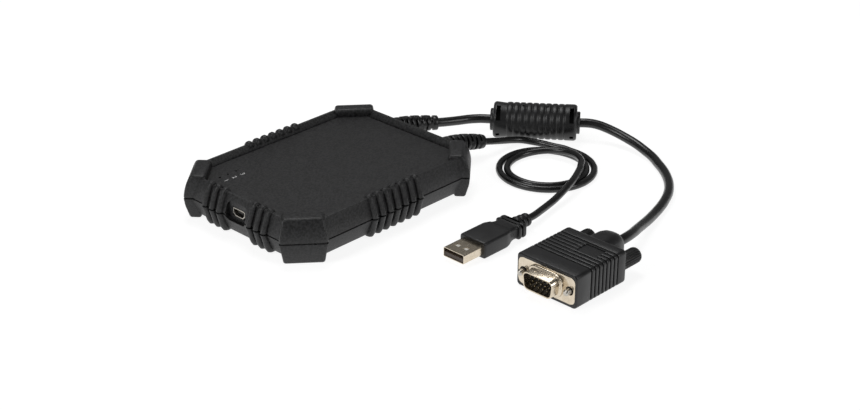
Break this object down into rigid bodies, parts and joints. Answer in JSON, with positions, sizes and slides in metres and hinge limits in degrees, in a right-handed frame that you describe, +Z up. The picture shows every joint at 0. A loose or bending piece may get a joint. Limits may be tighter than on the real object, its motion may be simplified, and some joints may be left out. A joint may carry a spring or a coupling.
{
  "type": "crash cart adapter",
  "caption": "Guarded octagonal adapter box with a mini-USB port and captive VGA and USB cords, one with a ferrite, the other in a small coil.",
  "frame": {"origin": "under the middle of the box, on the surface that its corner guards stand on", "axes": "+X along the box towards the end that the cords leave, -X towards the mini-USB port, +Z up out of the top panel; the plugs lie on the -Y side"},
  "size_m": [0.204, 0.1942, 0.0213],
  "materials": {
    "moulded_abs": "finely grained moulded ABS",
    "moulded_pvc": "satin moulded PVC",
    "boot_pvc": "soft moulded PVC",
    "cord_pvc": "semi-gloss PVC jacket",
    "knob_plastic": "knurled moulded nylon",
    "circuit_board": "green solder mask over glass fibre",
    "chip_epoxy": "matt moulded epoxy",
    "can_metal": "bright drawn can",
    "ferrite": "dull sintered ferrite",
    "ceramic": "glazed ceramic",
    "nickel_plate": "bright nickel plate",
    "gold_plate": "gold plate",
    "black_nylon": "moulded black nylon",
    "white_nylon": "moulded white nylon",
    "lamp_lens": "clear epoxy over the chip",
    "clear_acrylic": "smoke clear acrylic",
    "zinc_plated_steel": "zinc plated",
    "black_steel": "blackened"
  },
  "bodies": {
    "adapter": {"top_cover": "moulded_abs", "bottom_cover": "moulded_abs", "main_board": "circuit_board", "video_processor": "chip_epoxy", "video_digitizer": "chip_epoxy", "usb_controller": "chip_epoxy", "memory_chips": "chip_epoxy", "crystals": "can_metal", "capacitors": "can_metal", "inductors": "ferrite", "voltage_regulators": "chip_epoxy", "small_passives": "ceramic", "mini_usb_shell": "nickel_plate", "mini_usb_insulator": "black_nylon", "mini_usb_contacts": "gold_plate", "status_leds": "lamp_lens", "light_pipes": "clear_acrylic", "video_header": "white_nylon", "usb_header": "white_nylon", "video_cable_tail": "cord_pvc", "usb_cable_tail": "cord_pvc", "board_screws": "zinc_plated_steel", "case_screws": "black_steel", "video_boot": "boot_pvc", "usb_boot": "boot_pvc", "video_cord_lead": "cord_pvc", "video_cord_in_ferrite": "cord_pvc", "video_cord_run": "cord_pvc", "ferrite_cover": "moulded_pvc", "ferrite_core": "ferrite", "usb_cord_lead": "cord_pvc", "usb_cord_coil": "cord_pvc", "usb_cord_tail": "cord_pvc", "usb_plug_grip": "moulded_pvc", "usb_plug_shell": "nickel_plate", "usb_plug_tongue": "white_nylon", "usb_plug_contacts": "gold_plate", "vga_hood": "moulded_pvc", "vga_shell": "nickel_plate", "vga_insulator": "black_nylon", "vga_pins": "gold_plate"},
    "thumbscrew_left": {"jackscrew_left": "nickel_plate", "screw_knob_left": "knob_plastic"},
    "thumbscrew_right": {"jackscrew_right": "nickel_plate", "screw_knob_right": "knob_plastic"}
  },
  "joints": [
    {"name": "left_screw_turn", "type": "hinge", "parent": "adapter", "child": "thumbscrew_left", "pos_m": [-0.0007, -0.1193, 0.0078], "axis": [1, 0, 0], "continuous": true},
    {"name": "right_screw_turn", "type": "hinge", "parent": "adapter", "child": "thumbscrew_right", "pos_m": [-0.0007, -0.1443, 0.0078], "axis": [1, 0, 0], "continuous": true}
  ]
}
